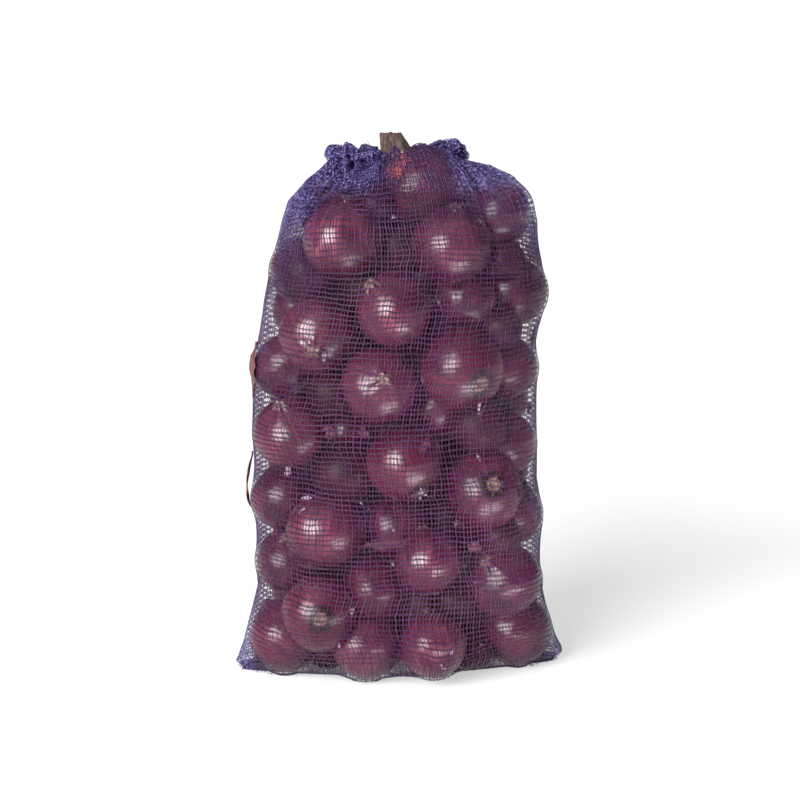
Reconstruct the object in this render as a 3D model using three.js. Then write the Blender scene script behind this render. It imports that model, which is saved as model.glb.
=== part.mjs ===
// A tall net sack of red onions standing on its sewn foot. The net is stretched over the onions, so
// the filled sack is one closed solid whose skin bulges over each onion and dips in between them.
// Its mouth is gathered into a low ruffle, with one dry onion neck poking out, and two loose skins
// cling to its side.
// Millimetres, +X to the right, the front of the sack faces -Y, +Z up. The origin is the middle of
// the flat patch that the sack stands on.

import * as THREE from 'three';

// ---------------------------------------------------------------- driving dimensions, millimetres

const COLUMNS = 84;            // points round the sack
const RING_STEP = 12;          // wanted distance between rings up the side
const BULGE_ROUNDS = 80;       // passes that stretch the net between onions
const SLACK = 0.035;           // how sharply the skin dips in between onions, per millimetre
const FACE_SINK = 36;          // how deep the hollows between onions may be, in front and behind
const EDGE_SINK = 5;           // and at the left and right edges, where the net is stretched straight
const FOOT_Z = 20;             // the flat sewn foot reaches this high
const SHOULDER_Z = 395;        // from here the hollows get shallower, up to the gather
const NET_THICKNESS = 0.8;
const LOWEST_SIDE_Z = 0.6;     // the net round the flat patch stays this far off the floor
const GIRTH = 680;             // about the sack's distance round

// Half the net's outline at a few heights: where its left and right edges are, how deep it is from
// front to back, how far back its middle lies, how square its section is (2 is an ellipse, less is
// pointed, as at the two sewn corners of the foot), and how much the foot is turned, left corner
// forward.
const OUTLINE = [
  { z: 0, left: -118, right: 118, depth: 32, back: 0, square: 2.0, turn: 0.09 },
  { z: 3.5, left: -143, right: 141, depth: 38, back: 0, square: 1.5, turn: 0.09 },
  { z: 9, left: -150, right: 150, depth: 47, back: 0, square: 1.6, turn: 0.09 },
  { z: 15, left: -147, right: 149, depth: 56, back: 0, square: 1.7, turn: 0.08 },
  { z: 26, left: -142, right: 144, depth: 70, back: 0, square: 1.9, turn: 0.06 },
  { z: 44, left: -137, right: 138, depth: 77, back: 0, square: 2.2, turn: 0.03 },
  { z: 62, left: -132, right: 132, depth: 79, back: 0, square: 2.3 },
  { z: 80, left: -127, right: 126, depth: 79, back: 0, square: 2.3 },
  { z: 100, left: -127.5, right: 123, depth: 79, back: 0, square: 2.3 },
  { z: 138, left: -128, right: 126.5, depth: 80, back: 0, square: 2.3 },
  { z: 175, left: -131, right: 120, depth: 80, back: 0, square: 2.3 },
  { z: 250, left: -130.5, right: 120.5, depth: 80, back: 0, square: 2.3 },
  { z: 304, left: -125, right: 121.5, depth: 79, back: 0, square: 2.3 },
  { z: 341, left: -119.5, right: 129.5, depth: 77, back: 0, square: 2.3 },
  { z: 377, left: -111.5, right: 126, depth: 74, back: 0, square: 2.3 },
  { z: 413, left: -106.5, right: 119, depth: 67, back: 2, square: 2.2 },
  { z: 430, left: -102, right: 110.5, depth: 58, back: 4, square: 2.1 },
  { z: 448, left: -85, right: 97, depth: 45, back: 9, square: 2.0 },
  { z: 457, left: -71, right: 80, depth: 27, back: 14, square: 2.0 },
  { z: 461, left: -63.5, right: 57, depth: 9, back: 20, square: 2.2 },
];

// The onions that the net is stretched over, as seen from the front: middle and radius.
const SEEN_ONIONS = [
  [19, -16, 444, 35], [-50, -38, 400, 36], [45, -43, 396, 36], [87, -10, 420, 31],
  [-84, 0, 366, 32], [-5, -53, 342, 34], [99, 8, 347, 33], [-72, -38, 316, 34.5],
  [57, -24, 344, 29], [55, -42, 287, 38], [-19, -54, 273, 33.5], [-102, -2, 280, 30],
  [-97, -24, 225, 34], [94, 3, 279, 30], [-50, 8, 218, 29], [4, -54, 204, 34],
  [93, 0, 210, 30], [74, -38, 175, 35], [33, -5, 243, 30], [-104, -6, 160, 30.5],
  [-67, -44, 139, 35], [-4, -14, 134, 31], [99, 6, 143, 30.5], [-101, -10, 103, 30],
  [24, -55, 113, 30], [-25, -36, 83, 30], [93, -24, 88, 35], [-72, -54, 66, 34],
  [-104, -20, 34, 34], [-31, -42, 32, 32], [30, -54, 36, 30.5], [105, 2, 34, 34],
];
const FRONT_LIMIT = -30;       // onions further forward than this have a twin at the back

// Smaller onions that fill the two rounded corners of the back.
const CORNER_ONIONS = [
  [-90, 36, 67, 30], [-90, 36, 124, 28], [-90, 38, 240, 30], [-88, 36, 328, 29],
  [90, 44, 175, 28], [90, 42, 243, 28],
];

// The ruffle above the gather: its rings go up the outside, over the lip and down into the mouth.
const GATHER_Z = 461;
const LIP_Z = 470;             // the lip's lowest height
const MOUTH_FLOOR_Z = 466;
const RUFFLE = [
  { up: 0.25, left: -64, right: 57, depth: 11 },
  { up: 0.6, left: -65.5, right: 58.5, depth: 13.5 },
  { up: 0.9, left: -65, right: 58, depth: 13.5 },
  { up: 1.0, left: -62.5, right: 55.5, depth: 11.5 },
  { up: 0.85, left: -59.5, right: 52.5, depth: 9 },
];
const MOUTH = { left: -58, right: 51, depth: 7.5 };
const RUFFLE_BACK = 20;        // the ruffle's middle lies this far behind the sack's middle

// Puffs of the lip: middle along X, half width and rise, in front and at the back.
const FRONT_PUFFS = [[-58, 8, 4], [-46, 10, 9], [-24, 10, 5], [16, 10, 6], [40, 16, 12.5]];
const BACK_PUFFS = [[-55, 10, 6], [-30, 12, 5], [-4, 12, 8], [24, 13, 6], [46, 10, 10]];

// Pleats that the gather makes in the net, fading out down the shoulders.
const PLEATS = 15;
const PLEAT_DEPTH = 2.2;
const PLEAT_START_Z = 415;
const RUFFLE_WAVE = 0.11;      // share of the ruffle's depth that its folds go in and out

// The dry neck of an onion that stands up out of the mouth.
const NECK = { x: -8.5, foot: 466.5, top: 488, width: 19, thickness: 7, sides: 14, rings: 9, lean: 2.5 };

// Loose outer skins that cling to the left side: height range, distance round from the left edge
// (towards the front is positive), width, gap to the net and thickness.
const SKIN_UPPER = { low: 252, high: 301, round: 6, width: 16, gap: 1.2, thickness: 1.0, wave: 1.2 };
const SKIN_LOWER = { low: 152, high: 200, round: 4, width: 13, gap: 1.2, thickness: 1.0, wave: 1.0 };

// ---------------------------------------------------------------- small helpers

const lerp = (a, b, t) => a + (b - a) * t;
const clamp = (v, low, high) => Math.min(Math.max(v, low), high);

// The outline at any height, smooth between the named ones.
function outlineAt(z) {
  let i = 0;
  while (i < OUTLINE.length - 2 && OUTLINE[i + 1].z < z) i += 1;
  const t = clamp((z - OUTLINE[i].z) / (OUTLINE[i + 1].z - OUTLINE[i].z), 0, 1);
  const pick = (key) => lerp(OUTLINE[i][key] ?? 0, OUTLINE[i + 1][key] ?? 0, t);
  return { z, left: pick('left'), right: pick('right'), depth: pick('depth'), back: pick('back'),
    square: pick('square'), turn: pick('turn') };
}

// A closed section with points evenly spaced along its edge, starting at the right-hand end.
function section({ left, right, depth, back, square, turn = 0 }) {
  const fine = 720;
  const halfWidth = (right - left) / 2;
  const middle = (right + left) / 2;
  const edge = [];
  for (let i = 0; i <= fine; i += 1) {
    const angle = (i / fine) * 2 * Math.PI;
    const c = Math.cos(angle);
    const s = Math.sin(angle);
    const reach = (Math.abs(c) ** square + Math.abs(s) ** square) ** (-1 / square);
    const x = middle + halfWidth * c * reach;
    edge.push([x, back + turn * x + depth * s * reach]);
  }
  const run = [0];
  for (let i = 1; i <= fine; i += 1) {
    run.push(run[i - 1] + Math.hypot(edge[i][0] - edge[i - 1][0], edge[i][1] - edge[i - 1][1]));
  }
  const points = [];
  let k = 0;
  for (let column = 0; column < COLUMNS; column += 1) {
    const wanted = (run[fine] * column) / COLUMNS;
    while (run[k + 1] < wanted) k += 1;
    const t = (wanted - run[k]) / (run[k + 1] - run[k]);
    points.push([lerp(edge[k][0], edge[k + 1][0], t), lerp(edge[k][1], edge[k + 1][1], t)]);
  }
  return points;
}

// Heights of the rings: close together where the outline turns in, at the foot and the shoulders.
function ringHeights() {
  const heights = [0];
  for (let i = 1; i < OUTLINE.length; i += 1) {
    const a = OUTLINE[i - 1];
    const b = OUTLINE[i];
    const sideways = Math.max(Math.abs(b.left - a.left), Math.abs(b.right - a.right),
      Math.abs(b.depth - a.depth));
    const steps = Math.max(1, Math.round(Math.hypot(b.z - a.z, sideways) / RING_STEP));
    for (let s = 1; s <= steps; s += 1) heights.push(lerp(a.z, b.z, s / steps));
  }
  return heights;
}

// ---------------------------------------------------------------- the onions under the net

// The onions seen, the small ones at the back's corners, and for each onion well forward a twin behind
// it, mirrored and a little out of place.
function allOnions() {
  const onions = [...SEEN_ONIONS, ...CORNER_ONIONS].map(([x, y, z, r]) => ({ x, y, z, r }));
  SEEN_ONIONS.filter((onion) => onion[1] < FRONT_LIMIT).forEach(([x, y, z, r], i) => {
    onions.push({
      x: -0.95 * x + 5 * Math.sin(2.1 * i),
      y: -y + 1,
      z: z + 6 * Math.sin(1.3 * i),
      r: r - 0.5 + 1.5 * Math.sin(3.7 * i),
    });
  });
  return onions;
}

// ---------------------------------------------------------------- the net's skin

// Rings of points for the sack's sides, from the floor up to the gather.
function sideRings() {
  return ringHeights().map((z) => section(outlineAt(z)).map(([x, y]) => new THREE.Vector3(x, y, z)));
}

// The outward direction at each point, from its neighbours round and up the sack.
function outwardDirections(rings) {
  return rings.map((ring, i) => ring.map((point, j) => {
    const round = new THREE.Vector3().subVectors(ring[(j + 1) % COLUMNS],
      ring[(j + COLUMNS - 1) % COLUMNS]);
    const above = rings[Math.min(i + 1, rings.length - 1)][j];
    const below = rings[Math.max(i - 1, 1)][j];
    const up = new THREE.Vector3().subVectors(above, below);
    return round.cross(up).normalize();
  }));
}

// How far a ray from a point must go to leave the last onion that it meets.
function onionReach(point, direction, onions) {
  let reach = -Infinity;
  for (const onion of onions) {
    const toMiddle = new THREE.Vector3(onion.x, onion.y, onion.z).sub(point);
    const along = toMiddle.dot(direction);
    const aside = toMiddle.lengthSq() - along * along;
    const radius = onion.r + NET_THICKNESS;
    if (aside < radius * radius) {
      reach = Math.max(reach, along + Math.sqrt(radius * radius - aside));
    }
  }
  return reach;
}

// How far in the skin may dip at a point of the sack.
function deepestAt(point, direction) {
  const facing = Math.abs(direction.y) ** 3 * clamp((GATHER_Z - point.z) / (GATHER_Z - SHOULDER_Z), 0, 1);
  return -lerp(EDGE_SINK, FACE_SINK, facing) * clamp((point.z - FOOT_Z) / FOOT_Z, 0, 1);
}

// The net touches the onions that reach it and dips in between them. The first ring, on the floor,
// and the last, at the gather, stay where they are.
function stretchNet(rings, directions, onions) {
  const reach = rings.map((ring, i) => ring.map((point, j) => {
    const fixed = i === 0 || i === rings.length - 1;
    return fixed ? 0 : onionReach(point, directions[i][j], onions);
  }));
  const deepest = rings.map((ring, i) => ring.map((point, j) => deepestAt(point, directions[i][j])));
  let bulge = reach.map((row) => row.map((value) => Math.max(value, 0)));
  const drawIn = SLACK * RING_STEP * RING_STEP / 4;
  for (let round = 0; round < BULGE_ROUNDS; round += 1) {
    bulge = bulge.map((row, i) => row.map((value, j) => {
      if (i === 0 || i === rings.length - 1) return 0;
      const left = row[(j + COLUMNS - 1) % COLUMNS];
      const right = row[(j + 1) % COLUMNS];
      const level = (left + right + bulge[i - 1][j] + bulge[i + 1][j]) / 4;
      return Math.max(reach[i][j], level - drawIn, deepest[i][j]);
    }));
  }
  return bulge;
}

// Pleats run down from the gather and fade out on the shoulders.
function pleat(z, column) {
  const strength = clamp((z - PLEAT_START_Z) / (GATHER_Z - PLEAT_START_Z), 0, 1) ** 2;
  return PLEAT_DEPTH * strength * Math.cos((column / COLUMNS) * PLEATS * 2 * Math.PI);
}

function lipHeight(x, behind) {
  const puffs = behind ? BACK_PUFFS : FRONT_PUFFS;
  let rise = 0;
  for (const [middle, halfWidth, height] of puffs) {
    const t = (x - middle) / halfWidth;
    if (Math.abs(t) < 1) rise = Math.max(rise, height * Math.sqrt(1 - t * t));
  }
  return LIP_Z + rise;
}

// The ruffle: up its outside, over the lip and down its inside to the flat floor of the mouth.
function ruffleRings() {
  const rings = RUFFLE.map((ring) => {
    const edge = section({ ...ring, back: RUFFLE_BACK, square: 2.2 });
    return edge.map(([x, y], column) => {
      const wave = 1 + RUFFLE_WAVE * Math.cos((column / COLUMNS) * PLEATS * 2 * Math.PI);
      const lip = lipHeight(x, y > RUFFLE_BACK);
      return new THREE.Vector3(x, RUFFLE_BACK + (y - RUFFLE_BACK) * wave, lerp(GATHER_Z, lip, ring.up));
    });
  });
  const floor = section({ ...MOUTH, back: RUFFLE_BACK, square: 2.2 });
  rings.push(floor.map(([x, y]) => new THREE.Vector3(x, y, MOUTH_FLOOR_Z)));
  return rings;
}

// The whole skin of the sack, ring by ring.
function sackRings() {
  const sides = sideRings();
  const directions = outwardDirections(sides);
  const bulge = stretchNet(sides, directions, allOnions());
  const skin = sides.map((ring, i) => ring.map((point, j) => {
    const out = bulge[i][j] + (i === 0 ? 0 : pleat(point.z, j));
    const moved = point.clone().addScaledVector(directions[i][j], out);
    moved.z = i === 0 ? 0 : Math.max(moved.z, LOWEST_SIDE_Z);
    return moved;
  }));
  return [...skin, ...ruffleRings()];
}

// ---------------------------------------------------------------- turning rings into solids

// A closed body from rings of equal length, with a flat fan at each end.
function bodyFromRings(rings) {
  const count = rings[0].length;
  const positions = rings.flat().flatMap((p) => [p.x, p.y, p.z]);
  const faces = [];
  for (let i = 0; i < rings.length - 1; i += 1) {
    for (let j = 0; j < count; j += 1) {
      const a = i * count + j;
      const b = i * count + ((j + 1) % count);
      faces.push(a, b, b + count, a, b + count, a + count);
    }
  }
  const addFan = (ring, first, flip) => {
    const middle = ring.reduce((sum, p) => sum.add(p), new THREE.Vector3()).divideScalar(count);
    const centre = positions.length / 3;
    positions.push(middle.x, middle.y, middle.z);
    for (let j = 0; j < count; j += 1) {
      const a = first + j;
      const b = first + ((j + 1) % count);
      if (flip) faces.push(centre, b, a);
      else faces.push(centre, a, b);
    }
  };
  addFan(rings[0], 0, true);
  addFan(rings[rings.length - 1], (rings.length - 1) * count, false);
  const geometry = new THREE.BufferGeometry();
  geometry.setAttribute('position', new THREE.Float32BufferAttribute(positions, 3));
  geometry.setIndex(faces);
  geometry.computeVertexNormals();
  return geometry;
}

function netMaterial() {
  return new THREE.MeshStandardMaterial({ color: 0x5a3a5c, roughness: 0.55, metalness: 0 });
}

function drySkinMaterial(color) {
  return new THREE.MeshStandardMaterial({ color, roughness: 0.7, metalness: 0 });
}

// ---------------------------------------------------------------- the dry neck in the mouth

// A flattened stalk of dry skins that widens upwards, leans a little and ends in a ragged top.
function dryNeck() {
  const rings = [];
  for (let i = 0; i < NECK.rings; i += 1) {
    const t = i / (NECK.rings - 1);
    const ring = [];
    for (let j = 0; j < NECK.sides; j += 1) {
      const angle = (j / NECK.sides) * 2 * Math.PI;
      const widen = 0.78 + 0.22 * t;
      const crease = 1 + 0.09 * Math.cos(3 * angle + 2 * t);
      const x = NECK.x + NECK.lean * t + 0.5 * NECK.width * widen * crease * Math.cos(angle);
      const y = RUFFLE_BACK + 0.5 * NECK.thickness * (1.1 - 0.25 * t) * crease * Math.sin(angle);
      const ragged = i === NECK.rings - 1 ? 1.1 * Math.sin(5 * angle) - 1.6 - 0.11 * (x - NECK.x) : 0;
      ring.push(new THREE.Vector3(x, y, lerp(NECK.foot, NECK.top, t) + ragged));
    }
    rings.push(ring);
  }
  return bodyFromRings(rings);
}

// ---------------------------------------------------------------- loose skins on the left side

// A point on the finished skin, between its grid points, at a given height and column.
function skinPoint(rings, sideCount, column, z) {
  const j = Math.floor(column);
  const along = (a, b, t) => new THREE.Vector3().lerpVectors(a, b, t);
  const columnPoint = (k) => {
    let i = 1;
    while (i < sideCount - 2 && rings[i + 1][k].z < z) i += 1;
    const low = rings[i][k];
    const high = rings[i + 1][k];
    return along(low, high, clamp((z - low.z) / (high.z - low.z), 0, 1));
  };
  return along(columnPoint(j % COLUMNS), columnPoint((j + 1) % COLUMNS), column - j);
}

// A thin wavy patch that follows the net at a small gap, narrow at both ends.
function looseSkin(rings, sideCount, spec) {
  const leftColumn = COLUMNS / 2;
  const columnsPerMillimetre = COLUMNS / GIRTH;
  const across = 5;
  const up = 11;
  const inner = [];
  const outer = [];
  for (let i = 0; i <= up; i += 1) {
    const t = i / up;
    const z = lerp(spec.low, spec.high, t);
    const half = 0.5 * spec.width * (0.3 + 0.7 * Math.sin(Math.PI * clamp(t, 0.02, 0.98)) ** 0.7);
    const innerRow = [];
    const outerRow = [];
    for (let j = 0; j <= across; j += 1) {
      const s = (j / across) * 2 - 1;
      const sideways = spec.round + s * half;
      const base = skinPoint(rings, sideCount, leftColumn + sideways * columnsPerMillimetre, z);
      const out = new THREE.Vector3(base.x, base.y * 2, 0).normalize();
      const lift = spec.gap + spec.wave * (0.5 + 0.5 * Math.sin(7 * t + 2.5 * s)) + 1.5 * s * s * t;
      innerRow.push(base.clone().addScaledVector(out, lift));
      outerRow.push(base.clone().addScaledVector(out, lift + spec.thickness));
    }
    inner.push(innerRow);
    outer.push(outerRow);
  }
  return thinSolid(inner, outer);
}

// A closed thin body between two sheets of points, both faces split into triangles alike.
function thinSolid(inner, outer) {
  const rows = inner.length;
  const width = inner[0].length;
  const positions = [...inner.flat(), ...outer.flat()].flatMap((p) => [p.x, p.y, p.z]);
  const top = rows * width;
  const faces = [];
  const quad = (a, b, c, d) => faces.push(a, b, c, a, c, d);
  for (let i = 0; i < rows - 1; i += 1) {
    for (let j = 0; j < width - 1; j += 1) {
      const a = i * width + j;
      faces.push(a, a + width, a + width + 1, a, a + width + 1, a + 1);
      faces.push(top + a, top + a + width + 1, top + a + width, top + a, top + a + 1, top + a + width + 1);
    }
  }
  for (let j = 0; j < width - 1; j += 1) {
    const last = (rows - 1) * width + j;
    quad(j, j + 1, top + j + 1, top + j);
    quad(last + 1, last, top + last, top + last + 1);
  }
  for (let i = 0; i < rows - 1; i += 1) {
    const a = i * width;
    const b = a + width - 1;
    quad(a + width, a, top + a, top + a + width);
    quad(b, b + width, top + b + width, top + b);
  }
  const geometry = new THREE.BufferGeometry();
  geometry.setAttribute('position', new THREE.Float32BufferAttribute(positions, 3));
  geometry.setIndex(faces);
  geometry.computeVertexNormals();
  return geometry;
}

// ---------------------------------------------------------------- the finished object

function named(name, geometry, material) {
  const mesh = new THREE.Mesh(geometry, material);
  mesh.name = name;
  return mesh;
}

const rings = sackRings();
const sideCount = ringHeights().length;

const group = new THREE.Group();
group.add(
  named('net_sack', bodyFromRings(rings), netMaterial()),
  named('dry_neck', dryNeck(), drySkinMaterial(0x7a5a50)),
  named('loose_skin_upper', looseSkin(rings, sideCount, SKIN_UPPER), drySkinMaterial(0xb5504a)),
  named('loose_skin_lower', looseSkin(rings, sideCount, SKIN_LOWER), drySkinMaterial(0x8a4a38)),
);

export default group;
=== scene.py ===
import bpy
import numpy as np
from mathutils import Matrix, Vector
from numpy import arange, array, clip, concatenate, cos, hypot, interp, linspace, maximum, minimum
from numpy import pi, radians, sin, sqrt, stack, tan, where
from numpy.linalg import norm
from numpy.random import default_rng


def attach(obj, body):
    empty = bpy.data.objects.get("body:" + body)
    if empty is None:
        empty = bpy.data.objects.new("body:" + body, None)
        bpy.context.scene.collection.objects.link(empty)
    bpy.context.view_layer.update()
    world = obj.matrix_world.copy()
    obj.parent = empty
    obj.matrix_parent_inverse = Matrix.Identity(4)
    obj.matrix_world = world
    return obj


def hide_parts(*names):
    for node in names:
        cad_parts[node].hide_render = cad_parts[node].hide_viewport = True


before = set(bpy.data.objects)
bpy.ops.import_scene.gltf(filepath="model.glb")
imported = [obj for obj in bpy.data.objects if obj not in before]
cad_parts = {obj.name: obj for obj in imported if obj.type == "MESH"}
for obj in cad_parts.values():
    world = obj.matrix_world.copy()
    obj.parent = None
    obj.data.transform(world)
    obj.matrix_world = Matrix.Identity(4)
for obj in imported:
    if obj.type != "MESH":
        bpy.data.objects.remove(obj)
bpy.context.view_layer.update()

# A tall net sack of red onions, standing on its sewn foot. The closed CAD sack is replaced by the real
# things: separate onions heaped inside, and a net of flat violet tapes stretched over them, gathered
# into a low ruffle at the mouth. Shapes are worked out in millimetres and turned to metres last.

MM = .001
UP = np.array([0, 0, 1])
BODY = "root"

# ---- driving sizes, millimetres

# The net's outline, as in the CAD sack: height, left edge, right edge, depth from middle to front, how
# far back the middle lies, how square the section is, and how far its left corner is turned forward.
OUTLINE = [
    (3.5, -143, 141, 38, 0, 1.5, .09),
    (9, -150, 150, 47, 0, 1.6, .09),
    (15, -147, 149, 56, 0, 1.7, .08),
    (26, -142, 144, 70, 0, 1.9, .06),
    (44, -137, 138, 77, 0, 2.2, .03),
    (62, -132, 132, 79, 0, 2.3, 0),
    (80, -127, 126, 79, 0, 2.3, 0),
    (100, -127.5, 123, 79, 0, 2.3, 0),
    (138, -128, 126.5, 80, 0, 2.3, 0),
    (175, -131, 120, 80, 0, 2.3, 0),
    (250, -130.5, 120.5, 80, 0, 2.3, 0),
    (304, -125, 121.5, 79, 0, 2.3, 0),
    (341, -119.5, 129.5, 77, 0, 2.3, 0),
    (377, -111.5, 126, 74, 0, 2.3, 0),
    (413, -106.5, 119, 67, 2, 2.2, 0),
    (430, -102, 110.5, 58, 4, 2.1, 0),
    (448, -85, 97, 45, 9, 2.0, 0),
    (457, -71, 80, 27, 14, 2.0, 0),
    (461, -63.5, 57, 9, 20, 2.2, 0),
]
FLOOR_GAP = 1.0  # the net's underside clears the floor by this much
GATHER_Z = 461
LIP_Z = 470
RUFFLE_BACK = 20
RUFFLE = [
    # height as a share of the way from gather to lip, left, right, depth
    (.25, -64, 57, 11),
    (.6, -65.5, 58.5, 13.5),
    (.9, -65, 58, 13.5),
    (1.0, -62.5, 55.5, 11.5),
    (.85, -59.5, 52.5, 9),
    (.3, -57, 50, 6),
    (.0, -52, 45, 2),
]
RUFFLE_RINGS = 17
FRONT_PUFFS = [(-58, 8, 4), (-46, 6, 9.5), (-24, 9, 4.5), (16, 10, 5), (40, 16, 12.5)]
BACK_PUFFS = [(-55, 10, 6), (-30, 12, 5), (-4, 12, 6), (24, 13, 6), (46, 10, 10)]
PLEATS = 19
PLEAT_DEPTH = 4.6
PLEAT_START_Z = 400
CRUMPLE = 2.6  # how far the ruffle's crumples stand in and out
TWIST = 22  # how far round the sack the gather pulls the wales over the shoulders
TWIST_START_Z = 380

# The net: upright wales and level courses of flat slit tape, and thin threads half way between wales.
GIRTH = 700
WALES = 116  # about 6 mm apart
COURSE_STEP = 4.65
STEPS_PER_MESH = 2  # points along a tape between two crossings
TAPES = {"wale": (1.7, .32), "thread": (.85, .16), "course": (1.95, .0)}  # width, and place outwards
TAPE_THICKNESS = .4
BUNCH_START_Z = 415  # above this the net bunches up, and its tapes fold over each other
BUNCHING = .6
TOP_STRETCH = (14, 450, 30, 44)  # in front the net is taut round this x and z, fading out between two radii
FOLD_START_Z = 352  # above this the spare width of the net is folded in behind its face
FOLD_FULL_Z = 380
FOLD_DEPTH = 3.5
FOLD_SIDES = (-68, 100)  # below the gather the folds lie further out than these, left and right
TOP_FOLD = .6  # how wide the doubled net's tapes look over the top onion
SLACK_ROOM = 5  # free space behind the net at which it hangs quite slack
TAUT_WIDTH = .78  # how much of their width the tapes keep where they are stretched on an onion
FLANK_WIDTH = .6  # and how much they gain at the sack's sides
HEM_ROWS = 1  # rows either side of the foot's edge that are knitted twice as close
NET_CLEARANCE = .9  # from an onion's skin to the middle of the net
SLACK = .006  # how sharply the slack net curves in between onions, per millimetre
SINK = 5  # how far in it may draw there
STRETCH_ROUNDS = 700
EVENNESS = .8  # 1 would space the wales quite evenly round every bulge
FRINGE_COLUMNS = 14  # how far the fringe runs from each corner of the foot, in grid columns
FRINGE_STRANDS = 70
LIP_THREADS = 16
SEAM_WIDTH = 2.4
SEAM_THICKNESS = 1.0

# The onions as seen from the front: middle, radius and the way the neck points.
SEEN_ONIONS = [
    (19, -16, 444, 35, (-.6, -.1, .8)),
    (-50, -38, 400, 36, (.05, -.1, 1.0)),
    (45, -43, 396, 36, (.1, -.15, 1.0)),
    (87, -10, 420, 31, (-1.0, -.1, .1)),
    (-84, 0, 366, 32, (.6, .5, .3)),
    (-5, -53, 342, 34, (-.6, -.4, .7)),
    (99, 8, 347, 33, (.2, .3, .93)),
    (-72, -38, 316, 34.5, (-.1, -.95, -.25)),
    (57, -24, 344, 29, (.3, .25, .92)),
    (55, -42, 287, 38, (-.47, .85, .25)),
    (-19, -54, 273, 33.5, (.13, -.9, .42)),
    (-102, -2, 280, 30, (-.5, .7, .5)),
    (-97, -24, 225, 34, (-.24, -.45, .84)),
    (94, 3, 279, 30, (.2, .3, .93)),
    (-50, 8, 218, 29, (.3, .5, .8)),
    (4, -54, 204, 34, (-.4, .55, .7)),
    (93, 0, 210, 30, (.6, .6, .3)),
    (74, -38, 175, 35, (-.26, .88, -.4)),
    (33, -5, 243, 30, (-.2, .4, .9)),
    (-104, -6, 160, 30.5, (-.3, .4, .87)),
    (-67, -44, 139, 35, (.2, .35, .9)),
    (-4, -14, 134, 31, (.1, .4, .9)),
    (99, 6, 143, 30.5, (.4, .4, .8)),
    (-101, -10, 103, 30, (.0, -.45, .88)),
    (24, -55, 113, 30, (-.1, .35, .93)),
    (-25, -36, 83, 30, (1.0, .3, .1)),
    (93, -24, 88, 35, (-.49, -.55, .66)),
    (-72, -54, 66, 34, (-.06, .98, -.12)),
    (-104, -20, 34, 34, (-.5, .4, .77)),
    (-31, -42, 32, 32, (.3, .25, .92)),
    (30, -54, 36, 30.5, (-.2, .35, .92)),
    (105, 2, 34, 34, (.4, .5, .77)),
]
FRONT_LIMIT = -30  # onions further forward than this have a twin at the back
CORNER_ONIONS = [
    (-90, 36, 67, 30, (-.6, .6, .5)),
    (-90, 36, 124, 28, (.3, -.5, .8)),
    (-90, 38, 240, 30, (-.4, .7, -.5)),
    (-88, 36, 328, 29, (-.7, .4, .6)),
    (90, 44, 175, 28, (.5, .6, .6)),
    (90, 42, 243, 28, (-.2, .9, .3)),
]
BURIED_ONIONS = [  # inside the shoulders and the foot, clear of the net
    (-66, 10, 418, 25, (.3, .2, .9)),
    (-28, 20, 431, 26, (.1, .2, 1.0)),
    (56, 20, 430, 24, (-.3, .2, .9)),
    (66, -24, 22, 19, (.2, .6, .8)),
    (-66, -22, 22, 19, (-.2, .6, .8)),
]
ONION_PROFILE = [
    # height and radius from the root plate to the tip of the neck, as shares of the onion's radius
    (-.895, .0), (-.91, .06), (-.93, .11), (-.925, .16), (-.905, .24), (-.85, .42),
    (-.70, .66), (-.47, .87), (-.2, .975), (.03, 1.0), (.27, .965), (.50, .86), (.70, .68),
    (.83, .48), (.91, .31), (.965, .20), (1.01, .145), (1.05, .12), (1.09, .115), (1.095, .0),
]
ONION_LOBES = ((2, .018), (3, .012), (5, .006), (9, .004), (13, .003))  # how many round, how deep
NECK_REACH = 1.07  # an onion's neck reaches this share of its radius beyond its middle
NECK_BUMP = .15
ONION_KINDS = 6
ROOTS = 22  # dry root hairs left on an onion
NECK_LEAVES = 6  # torn dry leaf ends that lie round its neck
AROUND = 76  # points round an onion
ALONG = 50  # points from its root to its neck
CONTACT_GAP = .25  # left between two onions where they press on each other
MOST_HIDDEN = 38
PRESS_DEPTH = 9  # how far a hidden onion may press into its neighbours, which flattens both
SMALLEST_ONION, LARGEST_ONION = 17, 32  # of the hidden ones
ONION_PIECES = [
    # name, lowest and highest middle, whether deep in the heap
    ("onions_foot", 0, 75, False), ("onions_low", 75, 150, False), ("onions_middle", 150, 230, False),
    ("onions_upper", 230, 330, False), ("onions_top", 330, 500, False),
    ("inner_onions_low", 0, 200, True), ("inner_onions_high", 200, 500, True),
]

# The dry neck, the two skins that cling to the net, and the flakes of skin inside it.
STALK = {"left": -17.6, "right": .9, "foot": 466.6, "top": 487.6, "thickness": 8, "sheath": 13}
STALK_SIDES, STALK_RINGS = 72, 30
LOOSE_SKINS = [
    # name, node, lowest and highest height, distance round from the left edge, width, how far it
    # stands off the net at its ends and its middle, colours
    ("loose_skin_upper_leaf", "loose_skin_upper", 254, 304, 10, 24, .7, 1.7, "#371419", "#71393a"),
    ("loose_skin_lower_leaf", "loose_skin_lower", 152, 203, 3, 12, 1.4, 6.5, "#5e3c3a", "#a07678"),
]
LOOSE_SKIN_THICKNESS = .35
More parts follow.
